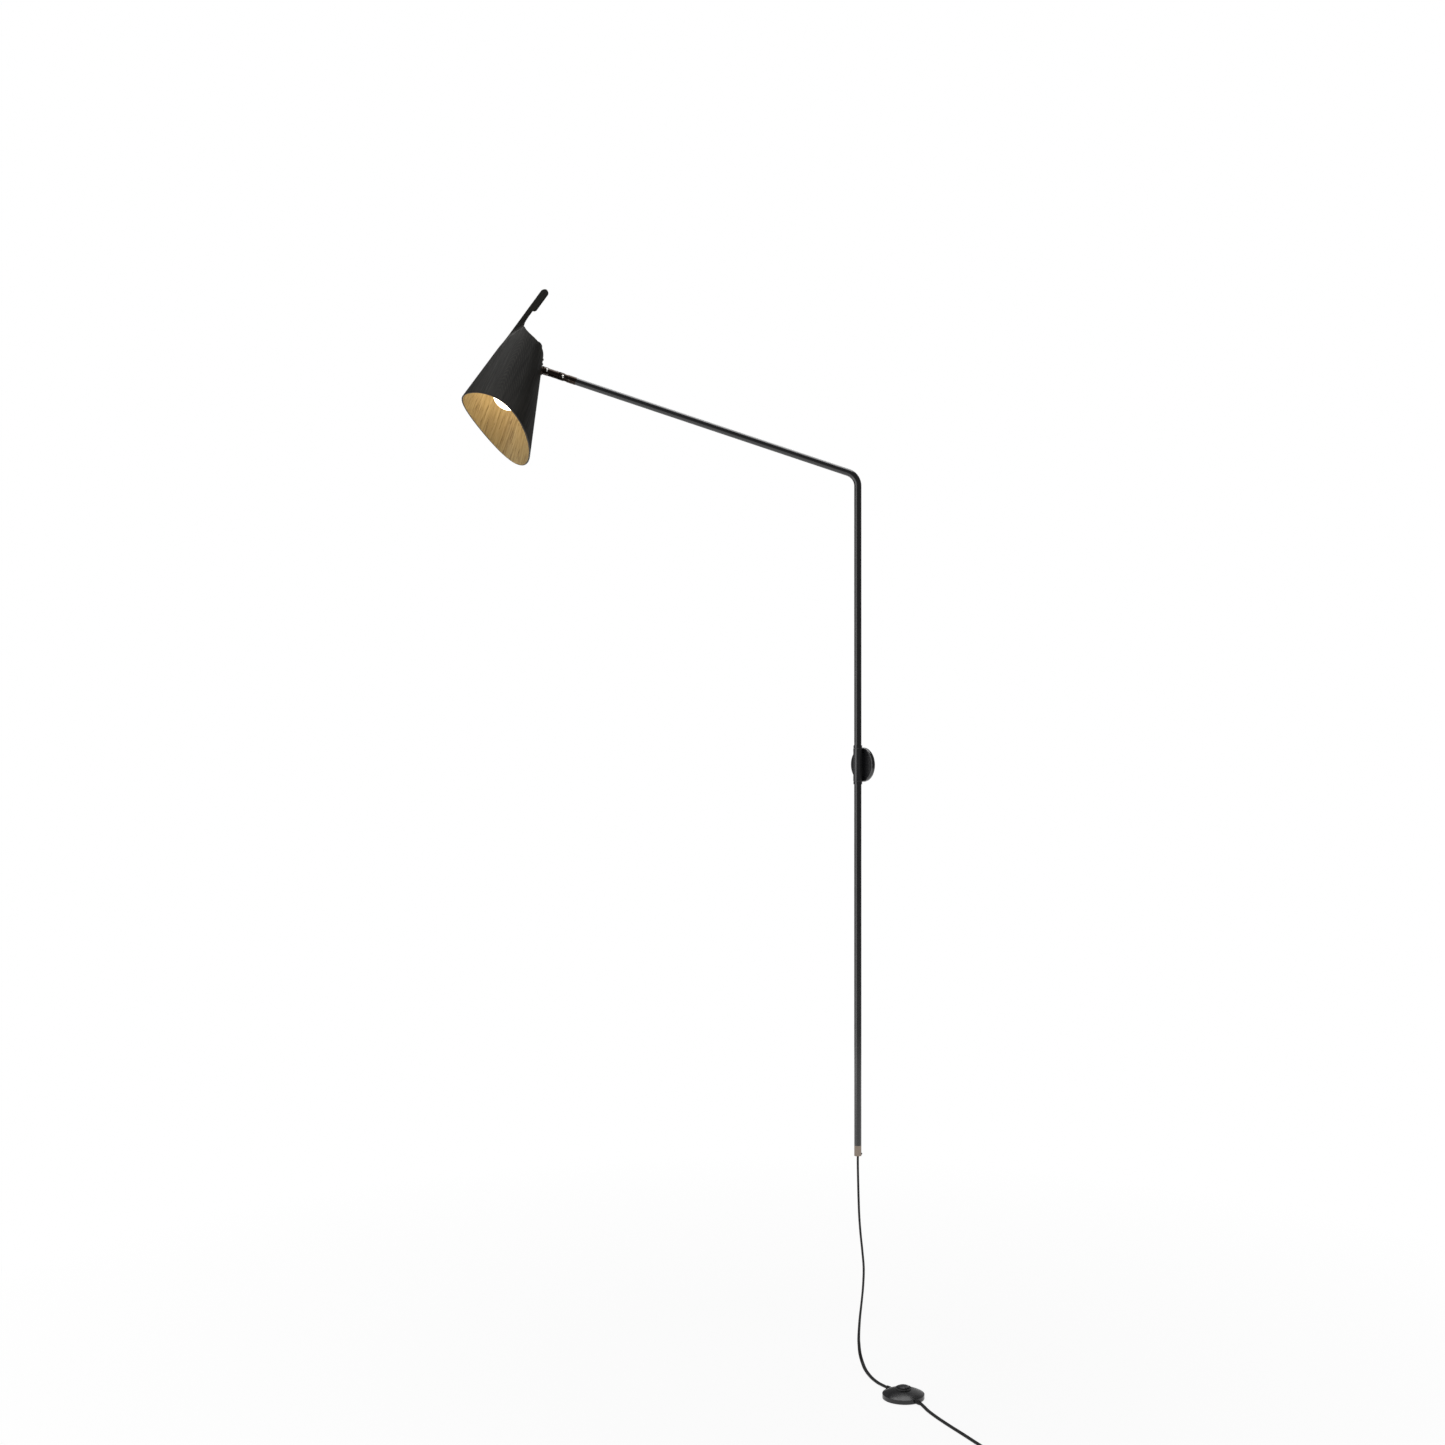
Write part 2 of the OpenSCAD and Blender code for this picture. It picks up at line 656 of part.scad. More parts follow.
module gland_holes(d) for (side = [0, 180]) rotate([0, 0, side])
    translate([switch_r - 12, 0, gland_z]) rod_x(d, 20);

module switch_cover() color(black) switch_frame() difference() {
    rotate_extrude() difference() {
        union() {
            dome_outline(0, 1);
            translate([0, 12]) square([button_d / 2 + 3, dome_top + 1.4 - 12]);
        }
        dome_outline(1.8, 0);
        square([button_d / 2 + slack, 2 * dome_top]);
    }
    gland_holes(8.1);
}

module switch_base() color(black) switch_frame() difference() {
    translate([0, 0, 1.2]) union() {
        cylinder(r = switch_r - 2, h = 1.8);
        for (side = [-1, 1]) translate([0, side * switch_screw_y, 0]) cylinder(d = 7, h = 8);
    }
    for (side = [-1, 1]) translate([0, side * switch_screw_y, 0]) {
        cylinder(d = 2.9, h = 8);
        cylinder(d = 5.6, h = 2);
    }
    gland_holes(8.1);
}

module switch_pad() color("black") switch_frame() difference() {
    rod(2 * switch_r - 8, 1.2, 30);
    for (side = [-1, 1]) translate([0, side * switch_screw_y, -cut]) cylinder(d = 8, h = 4);
    gland_holes(8.1);
}

module switch_screws() color(steel) switch_frame() for (side = [-1, 1])
    translate([0, side * switch_screw_y, 0.6]) {
        cylinder(d = 5.4, h = 1.4);
        cylinder(d = 2.9, h = 7);
    }

module switch_contacts() color("ivory") switch_frame() difference() {
    translate([-12, -8, 3]) cube([24, 16, 5]);
    translate([0, 0, 6.6]) cylinder(d = 13, h = 3);
}

module switch_button() color(black) switch_frame() difference() {
    dome = 2;
    ball_r = (pow(button_d / 2, 2) + pow(dome, 2)) / (2 * dome);
    intersection() {
        translate([0, 0, 12]) cylinder(d = button_d, h = button_top - 12);
        translate([0, 0, button_top - ball_r]) sphere(r = ball_r, $fn = 128);
    }
    translate([0, 0, button_top - 0.9]) cylinder(d = 12, h = 3);
    translate([0, 0, 11]) cylinder(d = 15, h = 7);
}

module switch_spring() color(steel) switch_frame() translate([0, 0, 6.8]) rod(12, 11, 10);

// Cord bush: its collar sits inside the switch and it tapers along the cord
module cord_bush() difference() {
    union() {
        translate([switch_r - 10, 0, gland_z]) rod_x(8, 13);
        translate([switch_r + 3, 0, gland_z]) rotate([0, 90, 0]) cylinder(d1 = 8, d2 = 7, h = 7);
    }
    translate([switch_r - 11, 0, gland_z]) rotate([90, 0, 90]) linear_extrude(22) cord_section();
}

module switch_inlet() color("black") switch_frame() rotate([0, 0, 180]) cord_bush();
module switch_outlet() color("black") switch_frame() cord_bush();

// ---- cords: each point is [x, y, height above the floor, heading of the wide side] ----

drop = plate_height;
lamp_route = [
    [0, -14, drop - 684, 144], [0, -14, drop - 700, 144], [0.3, -13.5, drop - 730, 144],
    [0.8, -12.9, drop - 760, 144], [1.5, -12, drop - 790, 144], [2.8, -10.2, drop - 820, 144],
    [4.6, -7.7, drop - 850, 144], [6, -5.7, drop - 880, 144], [5.5, -6.4, drop - 910, 142],
    [3.9, -8.6, drop - 940, 136], [2, -11.2, drop - 970, 126], [1, -12.7, 50, 112],
    [1.5, -12.5, 35, 100], [4, -12.8, 22, 88], [9, -13.5, 12, 78], [17, -16, 5, 70],
    [28, -21.5, 2.1, 64], [40, -28, 1.9, 62], [53, -34.5, 1.9, 64], [74, -43.5, 1.9, 69],
    [97, -51, 2.4, 75], [115, -56, 4, 82], [128, -58.7, 5, 86], [140.1, -59.6, 5, 86]
];
mains_route = [
    [209.9, -64.4, 5, 86], [220, -65.3, 5, 84], [232, -68, 3.6, 78], [247, -72.5, 2.2, 75],
    [268, -78.5, 1.9, 75], [294, -85, 1.9, 77], [321, -91, 1.9, 78], [360, -99, 1.9, 78],
    [392, -106, 1.9, 77], [425, -113.5, 1.9, 76], [458, -122, 1.9, 74], [488, -131, 1.9, 73],
    [513, -139, 1.9, 73]
];
tail_route = [
    [544, -178, 9.9, 0], [544.5, -190, 9.6, 0], [546, -206, 8.4, 4], [547.5, -220, 7.2, 4],
    [548, -232, 7, 0]
];

cord_sides = 10;

// Ring of points round a route's point, across the direction it travels in
function cord_ring(route, i) = let (
    last = len(route) - 1,
    here = [route[i][0], route[i][1], floor_z + route[i][2]],
    back = route[max(i - 1, 0)],
    next = route[min(i + 1, last)],
    travel = [next[0] - back[0], next[1] - back[1], next[2] - back[2]],
    t = travel / norm(travel),
    wide = [cos(route[i][3]), sin(route[i][3]), 0],
    across = wide - (wide * t) * t,
    w = across / norm(across),
    v = cross(t, w))
    [for (k = [0 : cord_sides - 1]) let (a = 360 * (k + 0.5) / cord_sides)
        here + cord_w / 2 * cos(a) * w + cord_t / 2 * sin(a) * v];

module cord_tube(route) {
    n = cord_sides;
    rings = len(route);
    polyhedron(
        points = [for (i = [0 : rings - 1]) each cord_ring(route, i)],
        faces = concat(
            [[for (k = [0 : n - 1]) k]],
            [[for (k = [n - 1 : -1 : 0]) (rings - 1) * n + k]],
            [for (i = [0 : rings - 2], k = [0 : n - 1])
                [i * n + k, (i + 1) * n + k, (i + 1) * n + (k + 1) % n, i * n + (k + 1) % n]]));
}

module lamp_cord() color("black") cord_tube(lamp_route);
module mains_cord() color("black") {
    cord_tube(mains_route);
    cord_tube(tail_route);
}

coil_at = [505, -178];
coil_r = 36;
coil_w = 13;
coil_h = 12;

module coil_frame() translate([coil_at[0], coil_at[1], floor_z]) children();
module mains_coil() color("black") coil_frame() rod(2 * coil_r + coil_w, coil_h, 2 * coil_r - coil_w);

module coil_tie() color("black") coil_frame() rotate([0, 0, 200]) translate([coil_r, 0, 0]) difference() {
    translate([-coil_w / 2 - 1, -4, 0]) cube([coil_w + 2, 8, coil_h + 1]);
    translate([-coil_w / 2, -5, -cut]) cube([coil_w, 10, coil_h + cut]);
}

plug_len = 30;
plug_w = 26;
plug_t = 14;
relief_len = 28;
module plug_frame() translate([548, -232, floor_z]) rotate([0, 0, -90]) children();

module plug_relief() color("black") plug_frame() translate([0, 0, plug_t / 2])
    rotate([0, 90, 0]) cylinder(d1 = 7, d2 = 10, h = relief_len);

module plug_body() color("black") plug_frame() translate([relief_len, 0, 0]) difference() {
    linear_extrude(plug_t) polygon([[0, -8], [0, 8], [8, plug_w / 2], [plug_len, plug_w / 2],
        [plug_len, -plug_w / 2], [8, -plug_w / 2]]);
    for (side = [-1, 1]) translate([plug_len - 8, side * 9.5, plug_t / 2]) rod_x(4, 9);
}

module plug_pins() color(steel) plug_frame() for (side = [-1, 1])
    translate([relief_len + plug_len - 8, side * 9.5, plug_t / 2]) rod_x(4, 8 + 19);

wall_bracket();
cover_plate();
cover_screw();
pivot_sleeve();
sleeve_screws();
upper_bush();
lower_bush();
bent_tube();
upper_collar();
lower_collar();
collar_screws();
bottom_ferrule();
ferrule_screw();
cord_grip();
tube_flex();
arm_fork();
arm_fork_screw();
elbow_screw();
elbow_nut();
elbow_washers();
link_barrel();
link_set_screw();
swivel_fork();
shade_screw();
shade_nut();
shade_washers();
shade_knuckle();
stem_nut();
shade_bracket();
bracket_screws();
bracket_nuts();
shade_shell();
holder_nipple();
holder_nuts();
holder_cap();
holder_body();
holder_insert();
holder_contact();
head_flex();
bulb_glass();
bulb_collar();
bulb_base();
switch_pad();
switch_base();
switch_cover();
switch_screws();
switch_contacts();
switch_button();
switch_spring();
switch_inlet();
switch_outlet();
lamp_cord();
mains_cord();
mains_coil();
coil_tie();
plug_body();
plug_pins();
plug_relief();
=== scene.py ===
from math import cos, pi, radians, sin, sqrt, tan

import bpy
import numpy as np
from mathutils import Matrix, Vector


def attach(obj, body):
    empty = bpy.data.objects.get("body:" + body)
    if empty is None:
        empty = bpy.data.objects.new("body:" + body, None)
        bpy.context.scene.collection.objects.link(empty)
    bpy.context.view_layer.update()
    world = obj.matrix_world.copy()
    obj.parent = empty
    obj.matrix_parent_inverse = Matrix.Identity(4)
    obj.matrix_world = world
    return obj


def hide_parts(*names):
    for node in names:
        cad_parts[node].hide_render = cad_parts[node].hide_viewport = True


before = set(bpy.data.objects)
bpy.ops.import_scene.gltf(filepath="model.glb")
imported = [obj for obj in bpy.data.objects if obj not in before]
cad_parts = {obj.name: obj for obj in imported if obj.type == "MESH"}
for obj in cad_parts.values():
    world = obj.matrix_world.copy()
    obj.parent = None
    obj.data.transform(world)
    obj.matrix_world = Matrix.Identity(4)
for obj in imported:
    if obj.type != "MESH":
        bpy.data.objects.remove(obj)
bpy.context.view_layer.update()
scene = bpy.context.scene

FLOOR = -1.05           # height of the floor, seen from the wall plate's middle
MM = 0.001


# ---- camera: level, at the photograph's angle ----

CAMERA_AT = Vector((2.632, -2.219, 0.074))
CAMERA_TURN = radians(54)
TO_CAMERA = Vector((sin(CAMERA_TURN), -cos(CAMERA_TURN), 0))
RIGHT = Vector((cos(CAMERA_TURN), sin(CAMERA_TURN), 0))


def make_camera():
    data = bpy.data.cameras.new("camera")
    data.lens = 48.76
    data.sensor_width = 36
    camera = bpy.data.objects.new("camera", data)
    camera.location = CAMERA_AT
    camera.rotation_euler = (radians(90), 0, CAMERA_TURN)
    scene.collection.objects.link(camera)
    scene.camera = camera


# ---- meshes ----

def new_mesh(name, points, faces):
    mesh = bpy.data.meshes.new(name)
    mesh.from_pydata([tuple(p) for p in points], [], faces)
    mesh.update()
    piece = bpy.data.objects.new(name, mesh)
    scene.collection.objects.link(piece)
    for face in mesh.polygons:
        face.use_smooth = True
    return piece


def bevel(piece, width, segments, angle):
    modifier = piece.modifiers.new("edges", "BEVEL")
    modifier.width = width
    modifier.segments = segments
    modifier.limit_method = "ANGLE"
    modifier.angle_limit = radians(angle)
    modifier.harden_normals = True
    return piece


def smoothstep(low, high, value):
    share = np.clip((value - low) / (high - low), 0, 1)
    return share * share * (3 - 2 * share)


def bridge(first, second, count):
    """Faces between two closed rings of vertices."""
    return [
        (first + i, first + (i + 1) % count, second + (i + 1) % count, second + i)
        for i in range(count)
    ]


def tube_faces(rings, count):
    """Skin through closed rings of vertices, with a face over each end."""
    faces = [f for i in range(rings - 1) for f in bridge(i * count, (i + 1) * count, count)]
    last = (rings - 1) * count
    return faces + [tuple(range(count))[::-1], tuple(range(last, last + count))]


# ---- cords: flat twin flex, swept along its route ----

CORD_WIDE = 6.2 * MM
CORD_THICK = 3.8 * MM

# Each point is x, y, height above the floor, all in metres, and the heading of the wide side in degrees.
LAMP_ROUTE = [
    (0, -0.014, 0.366, 144), (0, -0.014, 0.350, 144), (0.0003, -0.0135, 0.320, 144),
    (0.0008, -0.0129, 0.290, 144), (0.0015, -0.012, 0.260, 144), (0.0028, -0.0102, 0.230, 144),
    (0.0046, -0.0077, 0.200, 144), (0.006, -0.0057, 0.170, 144), (0.0055, -0.0064, 0.140, 142),
    (0.0039, -0.0086, 0.110, 136), (0.002, -0.0112, 0.080, 126), (0.001, -0.0127, 0.050, 112),
    (0.0015, -0.0125, 0.035, 100), (0.004, -0.0128, 0.022, 88), (0.009, -0.0135, 0.012, 78),
    (0.017, -0.016, 0.005, 70), (0.028, -0.0215, 0.0021, 64), (0.040, -0.028, 0.0019, 62),
    (0.053, -0.0345, 0.0019, 64), (0.074, -0.0435, 0.0019, 69), (0.097, -0.051, 0.0024, 75),
    (0.115, -0.056, 0.004, 82), (0.128, -0.0587, 0.005, 86), (0.1401, -0.0596, 0.005, 86),
]
MAINS_ROUTE = [
    (0.2099, -0.0644, 0.005, 86), (0.220, -0.0653, 0.005, 84), (0.232, -0.068, 0.0036, 78),
    (0.247, -0.0725, 0.0022, 75), (0.268, -0.0785, 0.0019, 75), (0.294, -0.085, 0.0019, 77),
    (0.321, -0.091, 0.0019, 78), (0.360, -0.099, 0.0019, 78), (0.392, -0.106, 0.0019, 77),
    (0.425, -0.1135, 0.0019, 76), (0.458, -0.122, 0.0019, 74), (0.488, -0.131, 0.0019, 73),
]
TAIL_ROUTE = [
    (0.544, -0.178, 0.0099, 0), (0.5445, -0.190, 0.0096, 0), (0.546, -0.206, 0.0084, 4),
    (0.5475, -0.220, 0.0072, 4), (0.548, -0.232, 0.007, 0),
]
COIL_AT = (0.505, -0.178)
COIL_START = 78.4       # heading of the cord where it comes in, in degrees
COIL_TURNS = 5.218      # from where the cord comes in to where its tail leaves
COIL_OUTER = 0.0392     # radius of the outer column of turns, and of the inner one
COIL_INNER = 0.0328
ON_FLOOR = 0.0019       # height of the cord's middle where it lies on the floor
LAYER = 0.004           # height of one layer of turns


def coil_route():
    """Turns that wind clockwise in two columns and three layers, and leave over the last of them."""
    points = []
    for t in np.arange(0, COIL_TURNS, 1 / 40):
        inwards = smoothstep(0.92, 1.08, t) - smoothstep(2.92, 3.08, t) + smoothstep(3.80, 3.96, t)
        inwards -= smoothstep(4.80, 4.96, t)
        climb = smoothstep(1.76, 1.92, t) + smoothstep(3.74, 3.92, t)
        hump = 0.0016 * np.exp(-((t - 4.88) / 0.06) ** 2)
        radius = COIL_OUTER - (COIL_OUTER - COIL_INNER) * inwards
        angle = radians(COIL_START) - 2 * pi * t
        points.append((
            COIL_AT[0] + radius * cos(angle), COIL_AT[1] + radius * sin(angle),
            ON_FLOOR + LAYER * climb + hump, COIL_START - 360 * t,
        ))
    return points


def closest_heading(heading, other):
    """The wide side has no front, so headings half a turn apart are the same."""
    return other + (heading - other + 90) % 180 - 90


def smooth_route(route, spacing=0.003):
    """Points at about even spacing on one smooth curve through the route."""
    rows = [list(route[0])]
    for row in route[1:]:
        rows.append([*row[:3], closest_heading(row[3], rows[-1][3])])
    rows = np.array(rows, float)
    rows[:, 2] += FLOOR
    ends = np.vstack([2 * rows[0] - rows[1], rows, 2 * rows[-1] - rows[-2]])
    path = []
    for a, b, c, d in zip(ends, ends[1:], ends[2:], ends[3:]):
        steps = max(2, round(np.linalg.norm(c[:3] - b[:3]) / spacing))
        for t in np.arange(steps) / steps:
            path.append(0.5 * (2 * b + (c - a) * t + (2 * a - 5 * b + 4 * c - d) * t * t
                               + (3 * b - a - 3 * c + d) * t ** 3))
    path.append(rows[-1])
    return np.array(path)


def cord_outline():
    """Two round cores side by side, with a shallow groove along each flat side."""
    half = CORD_THICK / 2
    reach = (CORD_WIDE - CORD_THICK) / 2
    right = [(reach + half * cos(a), half * sin(a)) for a in np.radians(np.arange(-84, 85, 12))]
    top = [(x, half - 0.45 * MM * np.exp(-((x / (0.55 * MM)) ** 2)))
           for x in reach * np.array([0.66, 0.33, 0, -0.33, -0.66])]
    half_round = right + top
    return half_round + [(-x, -y) for x, y in half_round]


def sweep_cord(name, route):
    path = smooth_route(route)
    outline = cord_outline()
    points = []
    for i, row in enumerate(path):
        travel = Vector(path[min(i + 1, len(path) - 1)][:3] - path[max(i - 1, 0)][:3]).normalized()
        heading = radians(row[3])
        wide = Vector((cos(heading), sin(heading), 0))
        wide = (wide - wide.dot(travel) * travel).normalized()
        up = travel.cross(wide)
        points += [Vector(row[:3]) + wide * x + up * y for x, y in outline]
    faces = tube_faces(len(path), len(outline))
    return new_mesh(name, points, faces), [tuple(row[:3]) for row in path]


def flat_ring(x, wide, thick, power=2.0, count=48):
    """Ring across local X: an ellipse, or for a power above 2 a rectangle with round corners."""
    turn = np.linspace(0, 2 * pi, count, endpoint=False)
    y, z = np.cos(turn), np.sin(turn)
    return [(x, wide * np.sign(a) * abs(a) ** (2 / power), thick * np.sign(b) * abs(b) ** (2 / power))
            for a, b in zip(y, z)]


def loft(name, place, rings):
    """Moulded piece: a skin through the rings, with its sharp edges eased."""
    points = [place @ Vector(point) for ring in rings for point in ring]
    piece = new_mesh(name, points, tube_faces(len(rings), len(rings[0])))
    return bevel(piece, 0.15 * MM, 2, 50)


def ribbed(start, end, first_r, last_r, ribs):
    """Rings of a tapered boot with grooves cut round it."""
    rings = []
    for share in np.linspace(0, 1, ribs * 12 + 1):
        groove = smoothstep(0.55, 0.8, abs(((share * ribs) % 1) - 0.5) * 2) if 0.06 < share < 0.94 else 0
        radius = first_r + (last_r - first_r) * share - 0.5 * MM * groove
        rings.append(flat_ring(start + (end - start) * share, radius, radius))
    return rings


SWITCH_AT = (0.175, -0.062, FLOOR + 0.005)  # its height is the cord's own, where it goes in
SWITCH_TURN = radians(-4)
BOOT_R = 3.9 * MM


def switch_boot(name, turn):
    """Short ribbed boot at the foot switch, with the flat cord's own opening in its end."""
    place = Matrix.Translation(SWITCH_AT) @ Matrix.Rotation(SWITCH_TURN + turn, 4, "Z")
    opening = (CORD_WIDE / 2 + 0.03 * MM, CORD_THICK / 2 + 0.05 * MM, 2.6)
    rings = [flat_ring(0.0255, BOOT_R, BOOT_R), flat_ring(0.0365, BOOT_R, BOOT_R)]
    rings += ribbed(0.037, 0.0445, 3.95 * MM, 3.6 * MM, 3)
    rings += [flat_ring(0.0449, 3.4 * MM, 3.2 * MM), flat_ring(0.045, 3.2 * MM, 2.7 * MM)]
    rings += [flat_ring(0.0448, *opening), flat_ring(0.034, *opening)]
    return loft(name, place, rings)


PLUG_PLACE = Matrix.Translation((0.548, -0.232, FLOOR + 0.007)) @ Matrix.Rotation(radians(-90), 4, "Z")
PLUG_FROM = 0.028       # along the plug's axis, from where the cord enters its boot


def plug_shell():
    """Moulded plug with soft edges, that narrows towards the cord and has finger grooves at its sides.
    All but PLUG_FROM is in millimetres, and s runs from the boot to the face with the pins."""
    rings = []
    for s in np.concatenate([np.linspace(0, 1.5, 7), np.linspace(1.9, 28.6, 90), np.linspace(28.7, 30, 8)]):
        wide = 8 + 5 * float(smoothstep(0, 9, s))
        thick = 5.4 + 1.6 * float(smoothstep(0, 10, s))
        for end, radius in ((s, 1.5), (30 - s, 1.3)):
            if end < radius:
                eased = radius - sqrt(radius ** 2 - (radius - end) ** 2)
                wide, thick = wide - eased, thick - eased
        if 10 < s < 22:
            wide -= 0.8 * (0.5 - 0.5 * cos(2 * pi * (s - 10) / 3))
        rings.append(flat_ring(PLUG_FROM + s * MM, wide * MM, thick * MM, 4.5, 96))
    return loft("plug_shell", PLUG_PLACE, rings)


TIE_TURN = radians(200)


def tie_band():
    """Moulded strap over the coil, with rounded corners and edges. Its path is in millimetres."""
    corner, half, top = 2.6, 7.0, 12.5
    path = [(-half, 0.4), (-half, 3), (-half, 6)]
    path += [(-half + corner * (1 - cos(t)), top - corner * (1 - sin(t))) for t in np.linspace(0, pi / 2, 9)]
    path += [(-x, z) for x, z in path[::-1]]
    rings = []
    for i, (x, z) in enumerate(path):
        back, ahead = path[max(i - 1, 0)], path[min(i + 1, len(path) - 1)]
        run = Vector((ahead[0] - back[0], ahead[1] - back[1])).normalized()
        ring = []
        for turn in np.linspace(0, 2 * pi, 32, endpoint=False):
            wide = 3.9 * np.sign(cos(turn)) * abs(cos(turn)) ** 0.35
            out = 0.48 * np.sign(sin(turn)) * abs(sin(turn)) ** 0.6
            ring.append(((x - run.y * out) * MM, wide * MM, (z + run.x * out) * MM))
        rings.append(ring)
    middle = Matrix.Translation((*COIL_AT, FLOOR)) @ Matrix.Rotation(TIE_TURN, 4, "Z")
    out = Matrix.Translation(((COIL_OUTER + COIL_INNER) / 2, 0, 0))
    return loft("tie_band", middle @ out, rings)


def make_fittings():
    """Moulded pieces on the cords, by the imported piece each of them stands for."""
    made = {
        "switch_inlet": switch_boot("boot_in", pi),
        "switch_outlet": switch_boot("boot_out", 0),
        "plug_relief": loft("plug_boot", PLUG_PLACE, ribbed(0, PLUG_FROM + 0.5 * MM, 3.6 * MM, 5 * MM, 7)),
        "plug_body": plug_shell(),
        "coil_tie": tie_band(),
    }
    for name, piece in made.items():
        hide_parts(name)
        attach(piece, "wall")
    return made


def make_cords():
    lamp, path = sweep_cord("lamp_flex", LAMP_ROUTE)
    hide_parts("lamp_cord")
    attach(lamp, "wall")
    mains, path = sweep_cord("mains_flex", MAINS_ROUTE + coil_route() + TAIL_ROUTE)
    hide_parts("mains_cord", "mains_coil")
    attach(mains, "wall")
    return [lamp, mains]


# ---- shade: an egg-shaped cone of veneer that is pinched flat into its tail ----

ARM_YAW = radians(-126)
ARM_RISE = radians(18.5)
AXIS_OUT = 0.014        # the tube's axis, out from the wall
CORNER_UP = 0.506       # the bend's corner, above the wall plate's middle
TILT_PIVOT = 0.574      # along the arm, from the bend's corner
HEAD_ROLL = radians(21)
APEX = Vector((0.053, 0, 0.195))    # the cone's apex, from the tilt pivot

HALF_ANGLE = radians(12.5)
SLOPE = tan(HALF_ANGLE)
WIDTH = 1.22            # the egg's width, against its length from seam to back
TAPER = 0.32            # how much narrower it is towards the seam
VENEER = 2.4 * MM
SEAM_RIM = 0.307        # along the front seam and along the back line, from the apex
BACK_RIM = 0.367
RIM_ARCH = 0.0055       # how far the rim bows from a straight chord
TOP_DEPTH = 0.1665      # depth of the top edge at the back
SWEEP_R = 0.050         # quarter circle in which the top edge turns up to the tail
SWEEP_X = -0.035        # its centre
SWEEP_DEPTH = TOP_DEPTH - SWEEP_R

BLADE = 0.012           # how far in from the seam the sides touch, at the depth of BLADE_DEPTH
BLADE_DEPTH = 0.116
BLADE_FALL = 37 / 69    # how fast the blade ends further down
BLADE_OPEN = 0.030      # width over which the sides part into the egg
SEAM_NOSE = 1.6 * MM    # rounding of the seam's edge


def shade_matrix():
    """Frame at the cone's apex: it opens along -Z, with its seam at +X."""
    arm = Matrix.Translation((0, -AXIS_OUT, 0)) @ Matrix.Rotation(ARM_YAW, 4, "Z")
    slope = Matrix.Translation((0, 0, CORNER_UP)) @ Matrix.Rotation(-ARM_RISE, 4, "Y")
    pivot = Matrix.Translation((TILT_PIVOT, 0, 0)) @ Matrix.Rotation(HEAD_ROLL, 4, "X")
    return arm @ slope @ pivot @ Matrix.Translation(APEX)


def half_width(x, depth):
    """Half of the section's width at x: an egg below, pinched towards the seam into a flat blade above."""
    r = depth * SLOPE
    share = np.clip(x / r, -1, 1)
    egg = WIDTH * r * np.sqrt(1 - share ** 2) * (1 - TAPER * share)
    from_seam = r - x
    flat = BLADE - (depth - BLADE_DEPTH) * BLADE_FALL
    egg = egg * smoothstep(0, BLADE_OPEN, from_seam - flat)
    nose = np.clip(from_seam / SEAM_NOSE, 0, 1)
    blade = VENEER * np.sqrt(1 - (1 - nose) ** 2)
    return np.sqrt(egg ** 2 + blade ** 2)


def around():
    """Angles from the seam to the back, closer together where the top edge turns up to the tail."""
    start = SWEEP_X + SWEEP_R
    first = np.arccos(start / (SWEEP_DEPTH * SLOPE))
    sweep = np.linspace(0, pi / 2, 61)
    x = SWEEP_X + SWEEP_R * np.cos(sweep)
    depth = SWEEP_DEPTH + SWEEP_R * np.sin(sweep)
    on_sweep = np.arccos(x / (depth * SLOPE))
    shares = [0, 0.04, 0.08, 0.12, 0.17, 0.23, 0.3, 0.38, 0.46, 0.54, 0.62, 0.7, 0.78, 0.86, 0.93]
    seam = first * np.array(shares)
    back = np.linspace(on_sweep[-1], pi, 9)
    angles = np.concatenate([seam, on_sweep, back[1:]])
    low = np.concatenate([np.full(len(seam), SWEEP_DEPTH), depth, np.full(8, TOP_DEPTH)])
    return angles, low


def rim_depth(angle):
    """Depth at which a straight line of the cone meets the rim, a wide arch between seam and back."""
    front = SEAM_RIM * np.array([sin(HALF_ANGLE), -cos(HALF_ANGLE)])
    back = BACK_RIM * np.array([-sin(HALF_ANGLE), -cos(HALF_ANGLE)])
    chord = front - back
    length = np.linalg.norm(chord)
    r = ((length / 2) ** 2 + RIM_ARCH ** 2) / (2 * RIM_ARCH)
    along = chord / length
    centre = (front + back) / 2 + (r - RIM_ARCH) * np.array([along[1], -along[0]])
    step = np.array([SLOPE * cos(angle), -1])
    a, b, c = step @ step, step @ centre, centre @ centre - r * r
    return (b - sqrt(b * b - a * c)) / a


def unrolled_angles():
    """Angle in the flat sheet for each angle round the cone, from the seam to the back."""
    a = np.linspace(0, pi, 721)
    sideways = WIDTH * SLOPE * np.sin(a) * (1 - TAPER * np.cos(a))
    line = np.stack([SLOPE * np.cos(a), sideways, -np.ones_like(a)])
    line /= np.linalg.norm(line, axis=0)
    return a, np.concatenate([[0], np.cumsum(np.linalg.norm(np.diff(line, axis=1), axis=0))])


FLAT_A, FLAT_TURN = unrolled_angles()
GRAIN_TURN = np.interp(radians(92), FLAT_A, FLAT_TURN)  # the grain follows the middle of each side


def grain_place(point, turn):
    """Place in the flat sheet, with its second axis along the grain."""
    slant = Vector(point).length
    return (slant * sin(turn - GRAIN_TURN), slant * cos(turn - GRAIN_TURN), 0)


def set_grain(piece, places):
    attribute = piece.data.attributes.new("grain", "FLOAT_VECTOR", "POINT")
    attribute.data.foreach_set("vector", np.array(places, np.float32).ravel())


